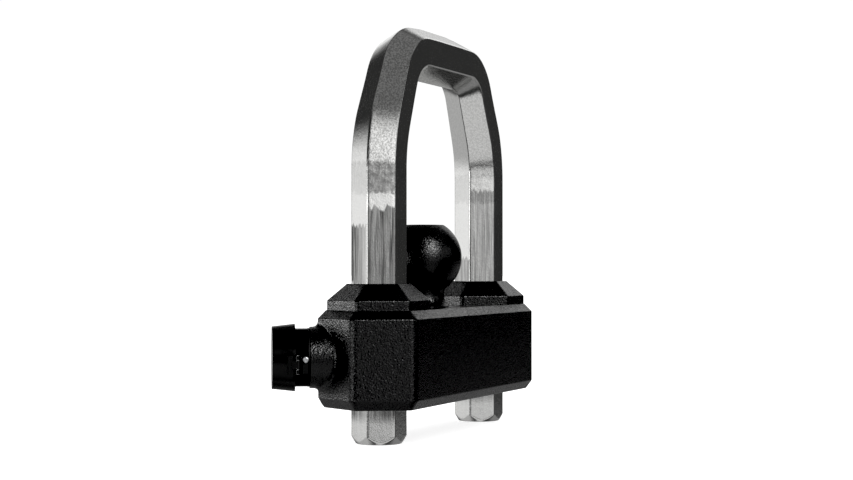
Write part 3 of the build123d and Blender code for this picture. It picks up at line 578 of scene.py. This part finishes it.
for step in NOTCH_STEPS:
    middle = np.array([-leg_x, 0, lock_z + step * NOTCH_PITCH])
    deepest, outside = middle + lock_out * NOTCH_FLOOR, middle + lock_out * BAR_AF
    cut(bar, level_drill("drill", deepest, outside, NOTCH_R))
bar.data.set_sharp_from_angle(angle=CREASE)
lit["steel"].objects.link(bar)
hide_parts("shackle")
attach(bar, "shackle")
print("after the notches:", len(bar.data.polygons), "faces")

# %% [markdown]
# ## Finishes
# Every finish starts from an empty material and ends in the standard shader. What differs is what
# stands between them, so these two ends are written once.

# %% Start and end of a finish
def finish(name):
    """An empty material and the hand that fills it."""
    made = bpy.data.materials.new(name)
    made.use_nodes = True
    return made, Nodes(made.node_tree)

def close_finish(n, **inputs):
    """Ends a material with the standard shader, fed with the given sockets and numbers."""
    named = {key.replace("_", " ").title().replace("Ior", "IOR"): value
             for key, value in inputs.items()}
    shader = n.add("BsdfPrincipled", named)
    n.add("OutputMaterial", {"Surface": shader.outputs["BSDF"]})

# %% [markdown]
# ### The steel of the bar
# Drawn stainless steel has fine streaks along its length, on a surface that is faintly uneven.
# Where the body rubs it, the streaks turn dark and coarse, up to a ragged line. On the near leg's
# face at 150 degrees that dark part is also painted reflection: a dark band of the room, painted
# into the steel's colour. The bending die has left a mottled band on each leg, and above it the
# steel is scuffed from handling. A picture of such steel would do, but it would stretch round the
# edges. Noise on the bar's own lengths gives the streaks, noise in space gives the mottling, and
# the numbers on the mesh say where each belongs.

# %% Bar finish
BRIGHT = 0.8  # clean steel
# these greys also paint the dark reflection on the near leg's face at 150 degrees
RUB_AND_REFLECTION_DARK, RUB_AND_REFLECTION_PALE = 0.14, 0.62  # the rubbed part, as shares of clean steel
RUB_AND_REFLECTION_DARKEST = 0.05
RAGGED = 12 * MM  # how unevenly the rub ends
DIE_Z, DIE_HALF, DIE_RAGGED = 134 * MM, 9.5 * MM, 9 * MM  # the band's middle, half height, edge
HANDLED_LOW, HANDLED_HIGH = 116 * MM, 150 * MM  # between these heights the scuffs set in
STEEL_BUMP = 0.07 * MM

def rubbed_steel_and_reflection(name):
    """Grey = clean steel * (1 - rub * (1 - rub grey)) * die grey * scuffs * grain.

    On the near leg's face at 150 degrees the rub is also a painted dark reflection.
    """
    made, n = finish(name)
    uv = n.add("UVMap", uv_map="along").outputs["UV"]
    place = n.add("TexCoord").outputs["Object"]
    fine = n.noise(uv, 0.35 * MM, detail=2, stretch=(1, 70, 1))
    broad = n.noise(uv, 2.4 * MM, detail=2, stretch=(1, 22, 1))
    mottle = n.noise(place, 3.5 * MM, detail=4, roughness=0.65)
    grain = n.noise(place, 0.7 * MM, detail=1)
    both = n.math("ADD", n.math("MULTIPLY", fine, 0.55), n.math("MULTIPLY", broad, 0.45))
    streak = n.step(both, 0.36, 0.64)
    depth = n.add("Attribute", attribute_name="rub_depth").outputs["Fac"]
    strength = n.add("Attribute", attribute_name="rub_and_reflection_strength").outputs["Fac"]
    ragged = n.math("ADD", depth, n.math("MULTIPLY", n.math("SUBTRACT", broad, 0.5), RAGGED))
    # the rubbed part; on the near leg's face at 150 degrees it is also a painted dark reflection
    rub = n.math("MULTIPLY", n.step(ragged, -0.5 * MM, 1.5 * MM), strength)
    above = n.add("SeparateXYZ", {"Vector": place}).outputs["Z"]
    from_die = n.math("ABSOLUTE", n.math("SUBTRACT", above, DIE_Z))
    uneven = n.math("MULTIPLY", n.math("SUBTRACT", mottle, 0.5), DIE_RAGGED)
    wavy = n.math("ADD", from_die, uneven)
    printed = n.add("Attribute", attribute_name="die_strength").outputs["Fac"]
    in_band = n.step(wavy, DIE_HALF - 1.5 * MM, DIE_HALF + 1 * MM, 1, 0)
    die = n.math("MULTIPLY", in_band, printed)
    rub_and_reflection_grey = n.blend(streak, RUB_AND_REFLECTION_DARK, RUB_AND_REFLECTION_PALE)
    blotches = n.blend(n.step(mottle, 0.3, 0.7), 0.3, 0.75)
    die_grey = n.math("MULTIPLY", blotches, n.blend(streak, 0.8, 1.2))
    rubbed = n.math("SUBTRACT", 1.0, n.math("MULTIPLY", rub, n.math("SUBTRACT", 1.0, rub_and_reflection_grey)))
    rubbed = n.math("MAXIMUM", rubbed, RUB_AND_REFLECTION_DARKEST)
    grey = n.math("MULTIPLY", rubbed, n.blend(die, 1.0, die_grey))
    handled = n.math("MULTIPLY", n.step(above, HANDLED_LOW, HANDLED_HIGH), printed)
    scuffed = n.step(n.noise(place, 1.1 * MM, detail=3, roughness=0.7), 0.4, 0.6, 0.55, 1.04)
    grey = n.math("MULTIPLY", grey, n.blend(handled, 1.0, scuffed))
    grey = n.math("MULTIPLY", grey, n.blend(grain, 0.9 * BRIGHT, 1.06 * BRIGHT))
    warm = n.math("MULTIPLY", grey, 0.985)
    colour = n.add("CombineColor", {0: grey, 1: grey, 2: warm}).outputs["Color"]
    rough = n.math("ADD", n.math("MULTIPLY", rub, 0.08), n.math("MULTIPLY", die, 0.12))
    rough = n.math("ADD", rough, n.blend(mottle, 0.10, 0.20))
    lines = n.math("MULTIPLY", fine, n.blend(rub, 0.1, 0.5))
    height = n.math("ADD", n.math("MULTIPLY", grain, 0.7), lines)
    height = n.math("ADD", height, n.math("MULTIPLY", mottle, 1.5))
    relief = {"Height": height, "Strength": 0.6, "Distance": STEEL_BUMP}
    bump = n.add("Bump", relief).outputs["Normal"]
    tangent = n.add("Tangent", direction_type="UV_MAP", uv_map="along").outputs["Tangent"]
    close_finish(n, base_color=colour, metallic=1.0, roughness=rough, anisotropic=0.5, normal=bump,
                 tangent=tangent)
    return made

bar.data.materials.clear()
bar.data.materials.append(rubbed_steel_and_reflection("rubbed_steel_and_reflection"))
print("the bar's finish has", len(bar.data.materials[0].node_tree.nodes), "nodes")

# %% [markdown]
# ### Powder coat
# Powder coat melts into a skin with a fine grain, and single pimples on it are duller than the
# rest. Grain in the shape alone would turn into a glitter of hard dots, so part of it is in the
# roughness: each pimple spreads its light, and the skin between stays glossy.

# %% Powder coat
COAT_BLACK = (0.0014, 0.0014, 0.0015, 1)
COAT_GLOSS, PIMPLE_GLOSS = 0.13, 0.42  # roughness of the skin and of its pimples

def powder_coat(name, grain, depth):
    made, n = finish(name)
    place = n.add("TexCoord").outputs["Object"]
    grains = n.noise(place, grain, detail=1.0)
    relief = {"Height": grains, "Strength": 1.0, "Distance": depth}
    bump = n.add("Bump", relief).outputs["Normal"]
    pimples = n.step(n.noise(place, 0.8 * grain, detail=0.5), 0.5, 0.68)
    close_finish(n, base_color=COAT_BLACK, roughness=n.blend(pimples, COAT_GLOSS, PIMPLE_GLOSS),
                 specular_ior_level=0.4, normal=bump)
    return made

# %% [markdown]
# ### Smooth blacks and plain metals
# Moulded plastic, rubber and black plating are smooth, but never evenly so: handling leaves them a
# little duller in places. The small metal parts are turned or plated, with faint marks of the tool
# and a tint that is not quite even. One helper for each family, fed with a few numbers, is enough.

# %% Smooth blacks and plain metals
SMOOTH_BLACK = (0.0015, 0.0015, 0.0016, 1)
SKIN_GRAIN, SCRATCH, FINE_BUMP = 0.25 * MM, 0.3 * MM, 0.02 * MM

def smooth_black(name, roughness, level):
    made, n = finish(name)
    place = n.add("TexCoord").outputs["Object"]
    grains = n.noise(place, SKIN_GRAIN)
    worn = n.noise(place, 4 * MM, detail=3)
    relief = {"Height": grains, "Strength": 0.25, "Distance": FINE_BUMP}
    bump = n.add("Bump", relief).outputs["Normal"]
    close_finish(n, base_color=SMOOTH_BLACK, specular_ior_level=level, normal=bump,
                 roughness=n.blend(worn, roughness * 0.85, roughness * 1.15))
    return made

def plain_metal(name, colour, roughness):
    made, n = finish(name)
    place = n.add("TexCoord").outputs["Object"]
    turning = n.noise(place, SCRATCH, detail=2, stretch=(1, 1, 6))
    cloud = n.noise(place, 5 * MM, detail=3)
    shades = {"Factor": cloud, "A": tuple(0.8 * c for c in colour) + (1,), "B": colour + (1,)}
    tint = n.add("Mix", shades, data_type="RGBA")
    relief = {"Height": turning, "Strength": 0.3, "Distance": FINE_BUMP}
    bump = n.add("Bump", relief).outputs["Normal"]
    close_finish(n, base_color=tint.outputs[2], metallic=1.0, normal=bump,
                 roughness=n.blend(turning, roughness * 0.7, roughness * 1.3))
    return made

# %% Finish of each slot
FINISHES = {
    "powder_coat": powder_coat("powder_coat", grain=0.85 * MM, depth=0.26 * MM),
    "ball_coat": powder_coat("ball_coat", grain=0.8 * MM, depth=0.22 * MM),
    "black_barrel": smooth_black("black_barrel", 0.25, 0.05),
    "black_bracket": smooth_black("black_bracket", 0.3, 0.3),
    "cap_plastic": smooth_black("cap_plastic", 0.28, 0.3),
    "acetal": smooth_black("acetal", 0.5, 0.5),
    "rubber": smooth_black("rubber", 0.6, 0.3),
    "zinc_steel": plain_metal("zinc_steel", (0.66, 0.67, 0.68), 0.3),
    "black_screw": smooth_black("black_screw", 0.22, 0.3),
    "spring_steel": plain_metal("spring_steel", (0.5, 0.5, 0.5), 0.25),
    "hardened_steel": plain_metal("hardened_steel", (0.58, 0.57, 0.56), 0.22),
    "brass": plain_metal("brass", (0.78, 0.6, 0.3), 0.25),
    "chromed_brass": plain_metal("chromed_brass", (0.72, 0.73, 0.74), 0.12),
}
for node in frame["nodes"].values():
    slots = [slot.name for slot in node.data.materials if slot]
    node.data.materials.clear()
    node.data.materials.append(FINISHES.get(slots[0].split(".")[0], FINISHES["zinc_steel"]))
print(len(FINISHES), "finishes on", len(frame["nodes"]), "CAD nodes")
